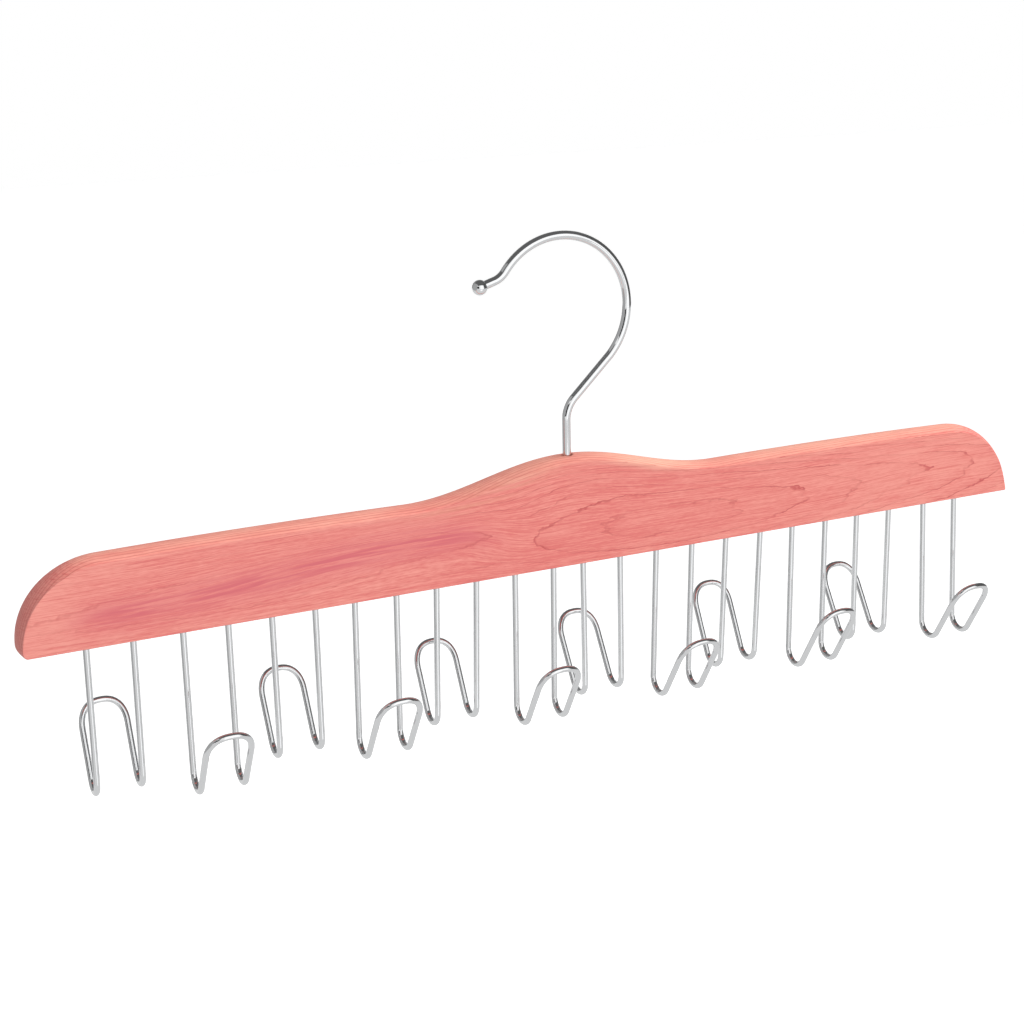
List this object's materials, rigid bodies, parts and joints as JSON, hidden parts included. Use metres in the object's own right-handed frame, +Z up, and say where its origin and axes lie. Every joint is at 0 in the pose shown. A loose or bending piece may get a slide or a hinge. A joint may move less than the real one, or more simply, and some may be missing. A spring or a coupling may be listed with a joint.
{
  "type": "belt hanger",
  "caption": "Flat cedar bar under a swivelling chromed wire hook, with a row of wire belt hooks on its lower edge that face front and back by turns.",
  "frame": {"origin": "rod seat: the point inside the swivel hook that rests on the closet rod, straight above the swivel's axis", "axes": "+X along the bar, with the hook's ball tip on the -X side; -Y is the front of the bar; +Z is up"},
  "size_m": [0.445, 0.0596, 0.1996],
  "materials": {
    "cedar_bar": "sanded, clear satin lacquer",
    "swivel_hook": "polished",
    "hook_tip_ball": "polished",
    "hook_washer": "zinc plated",
    "belt_hook_01": "polished",
    "belt_hook_02": "polished",
    "belt_hook_03": "polished",
    "belt_hook_04": "polished",
    "belt_hook_05": "polished",
    "belt_hook_06": "polished",
    "belt_hook_07": "polished",
    "belt_hook_08": "polished",
    "belt_hook_09": "polished",
    "belt_hook_10": "polished",
    "belt_hook_11": "polished",
    "belt_hook_12": "polished"
  },
  "bodies": {
    "hook": {"swivel_hook": "swivel_hook", "hook_tip_ball": "hook_tip_ball"},
    "hanger": {"cedar_bar": "cedar_bar", "hook_washer": "hook_washer", "belt_hook_01": "belt_hook_01", "belt_hook_02": "belt_hook_02", "belt_hook_03": "belt_hook_03", "belt_hook_04": "belt_hook_04", "belt_hook_05": "belt_hook_05", "belt_hook_06": "belt_hook_06", "belt_hook_07": "belt_hook_07", "belt_hook_08": "belt_hook_08", "belt_hook_09": "belt_hook_09", "belt_hook_10": "belt_hook_10", "belt_hook_11": "belt_hook_11", "belt_hook_12": "belt_hook_12"}
  },
  "joints": [
    {"name": "hook_swivel", "type": "hinge", "parent": "hook", "child": "hanger", "pos_m": [0, 0, -0.0866], "axis": [0, 0, 1], "continuous": true}
  ]
}
